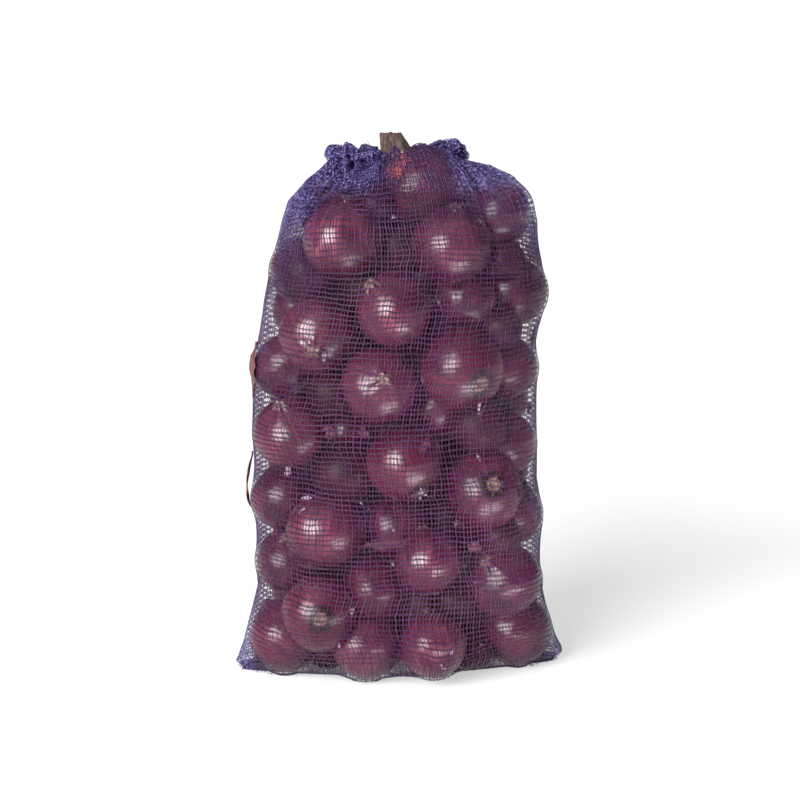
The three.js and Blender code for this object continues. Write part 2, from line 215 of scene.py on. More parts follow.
# Flakes just inside the net, in front: x, z, length, width and degrees turned from upright.
FLAKES = {
    # The pale flakes lie where bright glints show; their pale colour is partly the skin's own and partly a
    # painted highlight.
    "pale_skin_flakes": ("#5d4357", "#98829a", [
        (-99, 196, 10, 6, 40), (-82, 176, 10, 3.5, 75), (48, 154, 6, 2.5, 20), (-4, 150, 4, 3, 0),
        (-66, 303, 8, 4.5, 30), (70, 256, 12, 3, 5), (46, 37, 7, 3, 10), (39, 24, 9, 3.5, -25),
        (35, 351, 11, 2.2, -35), (17, 183, 12, 3, 0), (70, 212, 8, 3, -20), (-41, 78, 6, 4, 15),
        (-88, 165, 8, 2.5, 60), (73, 40, 7, 2, -70), (68, 100, 9, 2, 85), (-55, 44, 6, 2.5, 10),
    ]),
    "crimson_skin_flakes": ("#2c0716", "#5e142c", [
        (118, 311, 20, 13, 10), (116, 248, 10, 11, 60), (-66, 449, 17, 12, 55), (-55, 440, 13, 9, -30),
        (-15, 136, 9, 34, 0), (20, 226, 14, 8, 20), (-30, 238, 12, 7, -15), (66, 132, 10, 12, 40),
        (-112, 142, 15, 7, 10), (108, 176, 14, 8, -15), (-35, 105, 10, 8, 35), (-63, 236, 12, 10, 0),
    ]),
}
FLAKE_DEPTH, FLAKE_THICKNESS = .35, .25
PATCH = {"across": (-19, 13), "up": (-12, 13)}  # the dry orange skin on the top onion's shoulder
PATCH_FACING = (-.68, -.45, .60)

CAMERA_ELEVATION = radians(12)
CAMERA_DISTANCE = 2.2
AIM_Z = .2495
FIELD_WIDTH = .72  # metres across the picture at the sack
SENSOR_WIDTH = 36
LIGHTS = [
    # name, kind, place and aim in metres, strength, and how many degrees wide a sun looks
    ("key softbox", "SUN", (-1.09, -1.53, .93), (0, 0, .25), 7.4, 44),
    ("ceiling", "SUN", (0, 0, 2), (0, 0, 0), .7, 75),
    ("floor reflector", "AREA", (.2, -.3, .012), (.2, -.3, 1), 2.2, None),
]
REFLECTOR_SIZE = (.3, .25)
ROOM_LIGHT = .14
FLOOR_GLOW = .5  # keeps the floor near the photograph's white
FLOOR_SIZE = 3e4


# ---- colours and the node helper

NODE_FAMILY = {"SHADER": "ShaderNode", "GEOMETRY": "GeometryNode"}


def colour(hex_code):
    """A hex sRGB colour as linear red, green, blue and alpha."""
    channels = [int(hex_code[i:i + 2], 16) / 255 for i in (1, 3, 5)]
    linear = [c / 12.92 if c <= .04045 else ((c + .055) / 1.055) ** 2.4 for c in channels]
    return (*linear, 1.0)


def add(tree, kind, inputs=None, out=0, stops=(), **settings):
    """Adds a node, of a kind that belongs to its tree or is named in full, and returns one of its outputs.
    inputs maps a socket's name or number to a value or to the socket that feeds it, and stops are the
    places and hex colours of a colour ramp."""
    node = tree.nodes.new(kind if "Node" in kind else NODE_FAMILY[tree.type] + kind)
    for name, value in settings.items():
        setattr(node, name, value)
    for key, value in (inputs or {}).items():
        socket = node.inputs[key]
        if isinstance(value, bpy.types.NodeSocket):
            tree.links.new(value, socket)
        else:
            socket.default_value = value
    for number, (place, hex_code) in enumerate(stops):
        elements = node.color_ramp.elements
        element = elements[number] if number < 2 else elements.new(place)
        element.position = place
        element.color = colour(hex_code)
    return node.outputs[out] if node.outputs else None


def new_material(name):
    """An empty node material and its tree."""
    material = bpy.data.materials.new(name)
    material.use_nodes = True
    material.node_tree.nodes.clear()
    return material, material.node_tree


def cover(tree, inputs):
    """Ends a material in a Principled shader with these inputs."""
    shader = add(tree, "BsdfPrincipled", inputs)
    add(tree, "OutputMaterial", {"Surface": shader})


# ---- materials

def knitted_net_material():
    """Knitted net of slit polypropylene tape, dyed violet: thin and half see-through, with a soft
    plastic gloss, so one layer is a mauve haze over the onions. A second value turns the tapes a deep
    violet where the net is folded, and paints shade on them at the sack's sides. Fine dark and light
    speckles on the deep violet are painted shade in the folds' holes and painted glints on the tapes."""
    material, tree = new_material("knitted polypropylene net tape")
    place = add(tree, "TexCoord", out="Object")
    layers = add(tree, "Attribute", out="Fac", attribute_name="layers")
    tint = add(tree, "TexNoise", {"Vector": place, "Scale": 60.0, "Detail": 2.0})
    single = add(tree, "ValToRGB", {"Fac": tint}, stops=[(.3, "#2f1533"), (.7, "#4a224a")])
    # Dark and light speckles in the folded net: painted shade in the holes between folds, and painted
    # glints on the tapes. The same noise also bumps the tapes.
    creases = add(tree, "TexNoise", {"Vector": place, "Scale": 420.0, "Detail": 3.0})
    folded = add(tree, "ValToRGB", {"Fac": creases},
                 stops=[(.36, "#251a4a"), (.5, "#463573"), (.64, "#8f83ba")])
    # The deep violet takes over where the net is folded, and at the sack's slack sides as painted shade.
    base = add(tree, "Mix", {0: layers, 6: single, 7: folded}, 2, data_type="RGBA")
    bump = add(tree, "Bump", {"Height": creases, "Strength": .5, "Distance": .3 * MM})
    cover(tree, {"Base Color": base, "Normal": bump, "Roughness": .4, "IOR": 1.44, "Alpha": .44})
    return material


def seam_material():
    """The sewn edge of the foot: folded net stitched down, matt. Its near-black violet is partly a dark
    thread and partly painted shade, the dark edge where the net curls under.
    """
    material, tree = new_material("stitched net seam")
    place = add(tree, "TexCoord", out="Object")
    stitches = add(tree, "TexNoise", {"Vector": place, "Scale": 500.0, "Detail": 2.0})
    # Near-black violet: a dark thread, and painted shade where the net curls under the foot.
    base = add(tree, "ValToRGB", {"Fac": stitches}, stops=[(.35, "#120a20"), (.65, "#35275a")])
    cover(tree, {"Base Color": base, "Roughness": .7})
    return material


def onion_skin_material(name, shade, rough, coat):
    """Red onion skin: a smooth papery outer leaf over moist flesh. Fine veins run from root to neck,
    the gloss is satin, the skin dries to tan round the root plate and at the neck, and a dark ring
    lies round the root. Onions deep in the heap get a darker copy of the skin, painted shade, and a
    duller gloss."""
    material, tree = new_material(name)
    skin = add(tree, "Attribute", out="Vector", attribute_name="skin")
    tone, pole, sheet = (add(tree, "Attribute", out="Fac", attribute_name=key)
                         for key in ("tone", "pole", "sheet"))
    vein_place = add(tree, "Mapping", {"Vector": skin, "Scale": (11.0, 11.0, .9)})
    veins = add(tree, "TexNoise", {"Vector": vein_place, "Scale": 1.0, "Detail": 4.0,
                                             "Roughness": .6})
    cloud_place = add(tree, "Mapping", {"Vector": skin, "Scale": (2.3, 2.3, 1.3)})
    clouds = add(tree, "TexNoise", {"Vector": cloud_place, "Scale": 1.0, "Detail": 3.0})
    streaks, broad, tones, dry_outer, dried, dried_share, ring = (
        add(tree, "ValToRGB", {"Fac": factor}, stops=stops) for factor, stops in (
            (veins, [(.3, "#240219"), (.47, "#4a0b2d"), (.62, "#6b1b41"), (.78, "#9c4f72")]),
            (clouds, [(.34, "#2a031b"), (.5, "#4f0f30"), (.66, "#742a42")]),
            (tone, [(.0, "#400d38"), (.5, "#591236"), (1.0, "#732130")]),
            (veins, [(.3, "#5e2136"), (.7, "#9e586a")]),
            (veins, [(.3, "#483835"), (.7, "#b3a28c")]),
            (pole, [(.0, "#ffffff"), (.055, "#e0e0e0"), (.07, "#000000"), (.93, "#000000"),
                    (.96, "#ffffff"), (1.0, "#ffffff")]),
            (pole, [(.05, "#ffffff"), (.07, "#46323f"), (.1, "#644a56"), (.15, "#ffffff")])))
    outer_share = add(tree, "Math", {0: sheet, 1: .4}, operation="MULTIPLY")
    base = streaks
    for part, other, blend in (
            (.5, broad, "MIX"), (.3, tones, "MIX"), (outer_share, dry_outer, "MIX"),
            (dried_share, dried, "MIX"), (1.0, ring, "MULTIPLY"), (1.0, colour(shade), "MULTIPLY")):
        base = add(tree, "Mix", {0: part, 6: base, 7: other}, 2, data_type="RGBA", blend_type=blend)
    gloss = add(tree, "MapRange", {0: veins, 1: .3, 2: .7, 3: rough, 4: rough + .14})
    bump = add(tree, "Bump", {"Height": veins, "Strength": .3, "Distance": .3 * MM})
    cover(tree, {"Base Color": base, "Roughness": gloss, "Normal": bump, "IOR": 1.34, "Coat Weight": coat,
                 "Coat Roughness": .26})
    return material


def dry_skin_material(name, stops, vein_scale=90.0, detail=4.0, relief=(.4, .3), rough=.55, sheath=None):
    """Dry outer onion skin: a brittle, paper-thin dead leaf, matt with a faint sheen and fine veins. At the
    neck such leaves have shrunk to a lengthwise creased stalk with one sheath. A second, darker ramp
    colours it towards its right side and inside its hollow top, where the darkening is painted shade."""
    material, tree = new_material(name)
    place = add(tree, "TexCoord", out="Object")
    vein_place = add(tree, "Mapping", {"Vector": place, "Scale": (700.0, 700.0, vein_scale)})
    veins = add(tree, "TexNoise", {"Vector": vein_place, "Scale": .5, "Detail": detail})
    base = add(tree, "ValToRGB", {"Fac": veins}, stops=stops)
    if sheath:
        dark = add(tree, "Attribute", out="Fac", attribute_name="dark")
        # The darker colour: towards the stalk's right side, and painted shade inside its hollow top.
        darker_side_and_painted_shade = add(tree, "ValToRGB", {"Fac": veins}, stops=sheath)
        base = add(tree, "Mix", {0: dark, 6: base, 7: darker_side_and_painted_shade}, 2, data_type="RGBA")
    bump = add(tree, "Bump", {"Height": veins, "Strength": relief[0], "Distance": relief[1] * MM})
    cover(tree, {"Base Color": base, "Roughness": rough, "Normal": bump})
    return material


# ---- small sums

def share(value, start, end):
    """How far a value has come from start to end, kept between 0 and 1."""
    return clip((value - start) / (end - start), 0, 1)


def unit(vectors):
    """Vectors made 1 long."""
    return vectors / maximum(norm(vectors, axis=-1, keepdims=True), 1e-9)


def resampled(rows, wanted, steps=None):
    """Rows of numbers at the wanted shares of the way along them. steps are their distances apart."""
    if steps is None:
        steps = norm(np.diff(rows, axis=0), axis=1)
    run = concatenate([[0], np.cumsum(steps)])
    return stack([interp(wanted * run[-1], run, column) for column in rows.T], 1)


def between(grid, row, column):
    """Values between the points of a grid whose columns close on themselves."""
    r, c = np.floor(row).astype(int), np.floor(column).astype(int)
    row_part, column_part = row - r, column - c
    if grid.ndim > 2:
        row_part, column_part = row_part[..., None], column_part[..., None]
    c, after = c % grid.shape[1], (c + 1) % grid.shape[1]
    low = grid[r, c] * (1 - column_part) + grid[r, after] * column_part
    high = grid[r + 1, c] * (1 - column_part) + grid[r + 1, after] * column_part
    return low * (1 - row_part) + high * row_part


def smooth_noise(shape, *waves):
    """Soft seeded waves that close up round the sack. Each has a size, cells up and round, and a seed."""
    def eased(place):
        part = place % 1
        return place - part + part * part * (3 - 2 * part)
    total = np.zeros(shape)
    for size, up, around, seed in waves:
        table = default_rng(seed).uniform(-1, 1, (up + 2, around))
        row = eased(linspace(0, up, shape[0]))[:, None]
        total += size * between(table, row, eased(arange(shape[1]) / shape[1] * around)[None])
    return total


def tube(rings, poles=()):
    """Points and faces of a closed tube whose rings run anticlockwise as seen from its far end. It ends
    flat, or in two poles, which are then its first and last points."""
    count, sides = np.shape(rings)[:2]
    points = np.reshape(rings, (-1, 3))
    first = 1 if len(poles) else 0
    last = first + (count - 1) * sides
    pairs = [(j, (j + 1) % sides) for j in range(sides)]
    faces = [(a + j, a + k, a + sides + k, a + sides + j)
             for a in range(first, last, sides) for j, k in pairs]
    if len(poles):
        points = concatenate([poles[:1], points, poles[1:]])
        for j, k in pairs:
            faces += [(0, 1 + k, 1 + j), (last + sides, last + j, last + k)]
    else:
        faces += [tuple(range(sides))[::-1], tuple(range(last, last + sides))]
    return points, faces


# ---- sections and the base outline

def section(left, right, depth, back, square, turn, count):
    """Points evenly spaced along a closed section's edge, starting at its right-hand end."""
    angle = linspace(0, 2 * pi, 1441)
    c, s = cos(angle), sin(angle)
    reach = (abs(c) ** square + abs(s) ** square) ** (-1 / square)
    x = (left + right) / 2 + (right - left) / 2 * c * reach
    return resampled(stack([x, back + turn * x + depth * s * reach], 1), arange(count) / count)


def outline_rows():
    """The outline at every ring of the net, evenly stepped from the seam underneath to the gather, and the
    number of the foot's ring."""
    z, left, right, depth, back, square, turn = OUTLINE[0]
    stations = [(FLOOR_GAP, left + .5, right - .5, 1.5, back, 2.0, turn)]
    for part in (.25, .5, .75):
        stations.append((FLOOR_GAP + (z - FLOOR_GAP) * part ** 4, left, right, 1.5 + (depth - 1.5) * part,
                         back, 1.9 + (square - 1.9) * part, turn))
    stations = array(stations + OUTLINE, float)
    jumps = abs(np.diff(stations, axis=0))
    steps = hypot(jumps[:, 0], jumps[:, 1:4].max(1))
    wanted = linspace(0, 1, int(round(steps.sum() / COURSE_STEP * STEPS_PER_MESH)) + 1)
    return resampled(stations, wanted, steps), int(np.searchsorted(wanted * steps.sum(), steps[:4].sum()))


# ---- the onions' places

def listed(table):
    """Onions from a table, as (middle, radius, neck direction)."""
    return [(array(o[:3], float), o[3], o[4]) for o in table]


def placed_onions():
    """Every onion that lies against the net: those seen, the corner ones and the twins."""
    onions = listed(SEEN_ONIONS + CORNER_ONIONS)
    front = [o for o in SEEN_ONIONS if o[1] < FRONT_LIMIT]
    for i, (x, y, z, r, neck) in enumerate(front):
        middle = array([-.95 * x + 5 * sin(2.1 * i), -y + 1, z + 6 * sin(1.3 * i)])
        turned = (cos(2.4 * i), sin(2.4 * i) * .7, cos(1.7 * i + .5))
        onions.append((middle, r - .5 + 1.5 * sin(3.7 * i), turned))
    return onions


def hidden_onions(onions, skin):
    """Onions deeper in the heap, each where it closes most of the holes that someone who walks round the
    sack could look through, as far as its neighbours leave room."""
    middles, radii = array([o[0] for o in onions]), array([o[1] for o in onions])
    net = skin.points[skin.foot_row:skin.side_rows:5, ::5].reshape(-1, 3)
    grid = stack(np.meshgrid(arange(-90, 95, 10.0), arange(-34, 40, 9.0), arange(22, 440, 10.0),
                                indexing="ij"), -1).reshape(-1, 3)
    room = array([norm(net - place, axis=1).min() for place in grid]) - 2
    room = minimum(room, grid[:, 2] - FLOOR_GAP - 1)
    slope = tan(CAMERA_ELEVATION)
    spots = stack(np.meshgrid(arange(-105, 106, 7.0), arange(16, 446, 7.0), indexing="ij"), -1)
    views = []
    for azimuth in (0, 0, 0, 40, 90, 140, 180, 220, 270, 320):
        turn = radians(azimuth)
        flat = array([(cos(turn), sin(turn), 0),
                         (-sin(turn) * slope, cos(turn) * slope, 1)]).T
        views.append((flat, array([p for p in spots.reshape(-1, 2) if surrounded(p, net @ flat)])))
    found = []
    while len(found) < MOST_HIDDEN:
        apart = norm(grid[:, None] - middles[None], axis=2) - radii[None]
        radius = minimum(minimum(apart.min(1) + PRESS_DEPTH, room), LARGEST_ONION)
        gain = np.zeros(len(grid))
        for flat, holes in views:
            clear = norm(holes[:, None] - (middles @ flat)[None], axis=2) - radii[None]
            still = holes[clear.min(1) > -1.5]
            gain += (norm((grid @ flat)[:, None] - still[None], axis=2) < radius[:, None] - 1.5).sum(1)
        gain[radius < SMALLEST_ONION] = 0
        best = int(gain.argmax())
        if gain[best] < 2:
            break
        i = len(found)
        neck = (.5 * sin(1.9 * i), .4 * cos(2.7 * i), 1.0 if sin(3.1 * i + 1) > 0 else -1.0)
        found.append((grid[best].copy(), float(radius[best]), neck))
        middles, radii = np.vstack([middles, grid[best]]), np.append(radii, radius[best])
    return found


def surrounded(point, outline, reach=13, band=8):
    """Whether a flat point lies well inside a cloud of outline points."""
    x, z = (outline - point).T
    near = x[abs(z) < band]
    return len(near) > 0 and near.min() < -reach and near.max() > reach and z[abs(x) < band].max() > reach


# ---- the net's skin

def outward(points):
    """Unit directions out of a grid of points whose columns run round the sack."""
    return unit(np.cross(np.roll(points, -1, 1) - np.roll(points, 1, 1), np.gradient(points, axis=0)))


def onion_reach(points, directions, bumps):
    """How far each point must go out along its direction to clear every onion."""
    reach = np.full(points.shape[:2], -1e9)
    for middle, radius in bumps:
        to_middle = middle - points
        along = (to_middle * directions).sum(2)
        aside = (to_middle ** 2).sum(2) - along ** 2
        out = along + sqrt(maximum(radius ** 2 - aside, 0))
        reach = where(aside < radius ** 2, maximum(reach, out), reach)
    return reach


def pleat_waves(columns):
    """The angle round the sack at each column, and how far it lies out on the gather's uneven folds."""
    u = arange(columns) / columns * 2 * pi
    return u, cos(PLEATS * u + 1.3 * sin(3 * u + 1) + .8 * sin(7 * u) + .5 * sin(11 * u + 2))


def lip_height(x, y):
    """The ruffle's height along its lip, in front and at the back."""
    rises = []
    for puffs in (FRONT_PUFFS, BACK_PUFFS):
        across = [(share(abs(x - middle), 0, half_width), height) for middle, half_width, height in puffs]
        rises.append(np.max([height * sqrt(1 - t * t) for t, height in across], axis=0))
    behind = share(y, RUFFLE_BACK - 3, RUFFLE_BACK + 3)
    return LIP_Z + rises[0] * (1 - behind) + rises[1] * behind


def ruffle_rows(columns):
    """The ruffle's rings: up its outside, over the lip and down into the closed mouth."""
    fold = pleat_waves(columns)[1]
    rings = []
    for s in linspace(0, len(RUFFLE) - 1, RUFFLE_RINGS):
        up, left, right, depth = (interp(s, arange(len(RUFFLE)), column) for column in zip(*RUFFLE))
        edge = section(left, right, depth, RUFFLE_BACK, 2.2, 0, columns)
        amount = PLEAT_DEPTH * (.75 if s < 4 else .5 if s < 5 else .2)
        place = edge + unit(edge - ((left + right) / 2, RUFFLE_BACK)) * (fold * amount)[:, None]
        lip = lip_height(*edge.T) + 1.2 * fold * up
        rings.append(np.column_stack([place, GATHER_Z + (lip - GATHER_Z) * up]))
    rings = array(rings)
    row = arange(RUFFLE_RINGS)[:, None]
    fade = CRUMPLE * share(row, 0, 4) * share(row, RUFFLE_RINGS - 2, RUFFLE_RINGS - 6)
    for axis, size in enumerate((.7, 1.0, .55)):
        rings[:, :, axis] += size * fade * smooth_noise(rings.shape[:2], (.6, 3, 34, 21 + axis),
                                                        (.4, 6, 75, 31 + axis))
    return rings


class Skin:
    """The stretched net as a grid of points. Columns run round the sack and rows run up it."""

    def __init__(self, onions):
        columns = WALES * STEPS_PER_MESH
        rows, self.foot_row = outline_rows()
        z = rows[:, :1]
        base = array([np.column_stack([section(*row[1:], columns), np.full(columns, row[0])])
                      for row in rows])
        directions = outward(base)
        under = arange(len(rows)) <= self.foot_row
        self.bumps = [(middle, radius + NET_CLEARANCE) for middle, radius, _ in onions]
        self.bumps += [(middle + unit(neck) * radius * NECK_REACH, radius * NECK_BUMP)
                       for middle, radius, neck in onions]
        reach = onion_reach(base, directions, self.bumps)
        reach[under] = reach[-1] = 0
        bulge = maximum(reach, 0)
        draw_in = SLACK * (COURSE_STEP / STEPS_PER_MESH) ** 2 / 4
        deepest = -SINK * share(z, 14, 28)
        for _ in range(STRETCH_ROUNDS):
            level = (np.roll(bulge, 1, 1) + np.roll(bulge, -1, 1)) / 4
            level[1:-1] += (bulge[2:] + bulge[:-2]) / 4
            bulge = maximum(maximum(reach, level - draw_in), deepest)
            bulge[under] = bulge[-1] = 0
        u, fold = pleat_waves(columns)
        fold = fold * (.75 + .25 * sin(5 * u + 2) * sin(2 * u))
        bulge = bulge + PLEAT_DEPTH * share(z, PLEAT_START_Z, GATHER_Z) ** 2.2 * fold
        bulge = where(under[:, None], 0, maximum(bulge, where(reach > 0, reach, -1e9)))
        points = base + directions * bulge[:, :, None]
        points[:, :, 2] = maximum(points[:, :, 2], FLOOR_GAP)
        self.side_rows = len(points)
        self.points = concatenate([points, ruffle_rows(columns)[1:]])
        self.normals = outward(self.points)
        self.normals[:len(rows)][under] = (0, 0, -1)
        self.rows, self.columns = self.points.shape[:2]

    def at(self, row, column):
        """Points and outward directions between grid points, for arrays of rows and columns."""
        row = clip(row, 0, self.rows - 1.001)
        return between(self.points, row, column), unit(between(self.normals, row, column))

    def even_columns(self):
        """Columns for each row that share the stretched net's girth out almost evenly."""
        lengths = norm(np.roll(self.points, -1, 1) - self.points, axis=2)
        parts = np.cumsum(lengths, 1) / lengths.sum(1, keepdims=True)
        parts = concatenate([np.zeros((self.rows, 1)), parts], 1)
        places = arange(self.columns + 1)
        even = array([interp(places[:-1] / self.columns, row, places) for row in parts])
        for _ in range(6):
            even[1:-1] = (even[:-2] + 2 * even[1:-1] + even[2:]) / 4
        return places[:-1] * (1 - EVENNESS) + even * EVENNESS

    def nearest(self, x, z):
        """The row and column of the net where it passes x and z in front."""
        points = self.points[self.foot_row:self.side_rows]
        facing = self.normals[self.foot_row:self.side_rows, :, 1] < 0
        away = hypot(points[..., 0] - x, points[..., 2] - z) + where(facing, 0, 1e3)
        row, column = np.unravel_index(away.argmin(), away.shape)
        return row + self.foot_row, column


# ---- mesh helpers

def make_mesh(name, points, faces=(), edges=(), **values):
    """A mesh object from points in millimetres, with the values given for its points as attributes."""
    mesh = bpy.data.meshes.new(name)
    mesh.from_pydata((np.asarray(points) * MM).tolist(), list(edges), list(faces))
    for key, rows in values.items():
        rows = np.asarray(rows)
        kind = "FLOAT_VECTOR" if rows.ndim == 2 else "INT" if rows.dtype.kind == "i" else "FLOAT"
        rows = rows.ravel().astype(np.int32 if kind == "INT" else np.float32)
        layer = mesh.attributes.new(key, kind, "POINT")
        layer.data.foreach_set("vector" if kind == "FLOAT_VECTOR" else "value", rows)
    mesh.update()
    piece = bpy.data.objects.new(name, mesh)
    bpy.context.scene.collection.objects.link(piece)
    return piece


def grown(name, source, tree, settings):
    """A plain mesh object from a geometry tree run on a source object."""
    modifier = source.modifiers.new(name, "NODES")
    modifier.node_group = tree
    for item in tree.interface.items_tree:
        if item.item_type == "SOCKET" and item.in_out == "INPUT" and item.name in settings:
            modifier[item.identifier] = settings[item.name]
    bpy.context.view_layer.update()
    evaluated = source.evaluated_get(bpy.context.evaluated_depsgraph_get())
    mesh = bpy.data.meshes.new_from_object(evaluated)
    mesh.name = name
    result = bpy.data.objects.new(name, mesh)
    bpy.context.scene.collection.objects.link(result)
    bpy.data.objects.remove(source)
    return result


def finish_piece(piece, slot, *nodes, sharp=None):
    """Shades a piece smooth, apart from edges sharper than the angle given, and puts it on the sack."""
    piece.data.shade_smooth()
    if sharp:
        piece.data.set_sharp_from_angle(angle=radians(sharp))
    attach(piece, BODY)
    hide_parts(*nodes)


def new_tree(name, **sockets):
    """A geometry tree and the outputs of its input node: Geometry and the named ones that are given."""
    tree = bpy.data.node_groups.new(name, "GeometryNodeTree")
    tree.interface.new_socket("Geometry", in_out="OUTPUT", socket_type="NodeSocketGeometry")
    sockets = {"Geometry": "Geometry", **sockets, "Finish": "Material"}
    for key, kind in sockets.items():
        tree.interface.new_socket(key.replace("_", " "), in_out="INPUT", socket_type="NodeSocket" + kind)
    return tree, tree.nodes.new("NodeGroupInput").outputs


def end_tree(tree, geometry, finish):
    """Ends a geometry tree in real meshes with their material."""
    real = add(tree, "RealizeInstances", {"Geometry": geometry})
    done = add(tree, "SetMaterial", {"Geometry": real, "Material": finish})
    add(tree, "NodeGroupOutput", {"Geometry": done})
    return tree


# ---- the net's tapes

def tape_tree():
    """Turns the edges of a mesh into flat tapes that lie on the net's skin."""
    tree, given = new_tree("flat tapes", Tape_Width="Float", Tape_Thickness="Float")
    curve = add(tree, "MeshToCurve", {"Mesh": given["Geometry"]})
    out = add(tree, "InputNamedAttribute", {"Name": "out"}, "Attribute", data_type="FLOAT_VECTOR")
    wide = add(tree, "InputNamedAttribute", {"Name": "wide"}, "Attribute", data_type="FLOAT")
    turned = add(tree, "SetCurveNormal", {"Curve": curve, "Normal": out}, mode="FREE")
    circle = add(tree, "CurvePrimitiveCircle", {"Resolution": 4, "Radius": .5})
    size = add(tree, "ShaderNodeCombineXYZ", {"X": given["Tape Thickness"], "Y": given["Tape Width"],
                                              "Z": 1.0})
    profile = add(tree, "Transform", {"Geometry": circle, "Scale": size})
    tapes = add(tree, "CurveToMesh", {"Curve": turned, "Profile Curve": profile, "Scale": wide,
                                                  "Fill Caps": True})
    return end_tree(tree, tapes, given["Finish"])


def tape_piece(name, tree, finish, width, thickness, points, edges, **values):
    """One piece of the net from paths along its tapes."""
    source = make_mesh(name + "_paths", points, edges=edges, **values)
    finish_piece(grown(name, source, tree, {"Tape Width": width * MM, "Tape Thickness": thickness * MM,
                                            "Finish": finish}), "net", "net_sack")


def net_points(skin, kind, fold):
    """A grid of points along the tapes, gently uneven as a knitted net is, with their outward directions
    and how slack the net hangs there. The fold lies behind the face, as deep as the onions leave room."""
    rows = arange(skin.rows - 1)
    shape = (len(rows), skin.columns)
    fade = share(minimum(rows - skin.foot_row, skin.side_rows - rows), 0, 12)[:, None]
    drift_round = smooth_noise(shape, (1.1, 14, 12, 3), (.6, 45, 40, 4), (.22, 110, 100, 5)) * fade
    drift_up = smooth_noise(shape, (1.2, 12, 10, 6), (.5, 40, 44, 7), (.18, 110, 100, 8)) * fade
    height = skin.points[:-1, :, 2].mean(1)
    height[skin.side_rows:] = GATHER_Z
    twist = TWIST * skin.columns / GIRTH * share(height, TWIST_START_Z, GATHER_Z)[:, None] ** 1.5
    points, normals = skin.at(rows[:, None] + drift_up, skin.even_columns()[:-1] + drift_round - twist)
    lift = TAPES[kind][1]
    room = -onion_reach(points, normals, skin.bumps)
    if fold:
        depth = FOLD_DEPTH * (.7 + smooth_noise(shape, (.3, 30, 28, 9)))
        lift = lift - clip(minimum(depth, room - .2), .5, None)[..., None]
    return points + normals * lift, normals, share(room, .8, .8 + SLACK_ROOM)


def net_piece(skin, tree, finish, name, kind, low, high, fold=False):
    """One band of the net's tapes, between two rows or two columns of the grid. wide is how wide a tape
    shows, and a second value how far the net there takes a deep violet: where it is folded, and as
    painted shade at the sack's slack sides."""
    points, normals, slack = net_points(skin, kind, fold)
    x, y, z = np.moveaxis(points, 2, 0)
    stretch_x, stretch_z, stretch_near, stretch_far = TOP_STRETCH
    away = hypot(x - stretch_x, z - stretch_z)
    loose = where(y < 8, share(away, stretch_near, stretch_far), 1)
    gathered = share(z, BUNCH_START_Z, GATHER_Z)
    gathered[skin.side_rows + 1:] = 1
    flank = share(abs(normals[:, :, 1]), .6, .2)
    wide = TAUT_WIDTH + (1 - TAUT_WIDTH + FLANK_WIDTH * flank) * slack + BUNCHING * gathered * loose
    sides = maximum((FOLD_SIDES[0] - x) / 14, (x - FOLD_SIDES[1]) / 12)
    sides = clip(maximum(sides, (z - 440) / 12), 0, 1)
    corner = share(abs(x), 130, 140) * (z < 60)
    layers = share(z, 385, 445) * (.2 + .8 * loose) * (.15 + .85 * sides)
    # At the sack's slack sides the net is also turned deep violet: painted shade.
    layers = clip(layers + .35 * flank * slack + corner, 0, 1)
    first = odd = 0
    if fold:
        shown = share(z, FOLD_START_Z, FOLD_FULL_Z) * maximum(share(slack, .3, .7), z > GATHER_Z + 1)
        wide = wide * maximum(maximum(shown * sides, TOP_FOLD * (1 - loose)), .02)
        first, odd = int(np.argmax(z.max(1) > FOLD_START_Z)), 1
    if kind == "wale":
        lines = [(slice(first, None), column) for column in range(low + odd, high, STEPS_PER_MESH)]
    elif kind == "thread":
        lines = [(slice(0, skin.side_rows, STEPS_PER_MESH), column)
                 for column in range(low + 1, high, STEPS_PER_MESH)]
    else:
        lines = [(row, slice(None)) for row in range(max(low, first), high)
                 if row % STEPS_PER_MESH == odd or abs(row - skin.foot_row) <= HEM_ROWS]
    rng = default_rng(17)
    kept, edges, offset = [], [], 0
    for line in lines:
        count = len(points[line])
        knot = where(arange(count) % STEPS_PER_MESH == 0, 1.15, .85) if kind == "wale" else 1
        edges += [(offset + i, offset + (i + 1) % count) for i in range(count - (kind != "course"))]
        kept.append((points[line], normals[line], knot * rng.uniform(.75, 1.25) * wide[line], layers[line]))
        offset += count
    points, out, wide, layers = (concatenate(rows) for rows in zip(*kept))
    tape_piece(name, tree, finish, TAPES[kind][0], TAPE_THICKNESS, points, edges, out=out, wide=wide,
               layers=layers)


def make_net(skin):
    """The face of the net, the folds of its spare width behind it, and its sewn foot."""
    tree, finish = tape_tree(), knitted_net_material()
    half = skin.columns // 2
    middle = skin.rows // 2 // STEPS_PER_MESH * STEPS_PER_MESH
    for name, kind, low, high, fold in (
            ("net_wales_back", "wale", 0, half, False),
            ("net_wales_front", "wale", half, skin.columns, False),
            ("net_threads", "thread", 0, skin.columns, False),
            ("net_courses_low", "course", 0, middle, False),
            ("net_courses_high", "course", middle, skin.rows - 1, False),
            ("net_fold_wales", "wale", 0, skin.columns, True),
            ("net_fold_courses", "course", middle, skin.rows - 1, True)):
        net_piece(skin, tree, finish, name, kind, low, high, fold)
    make_seam(skin, tree)
    make_hem(skin, tree, finish)


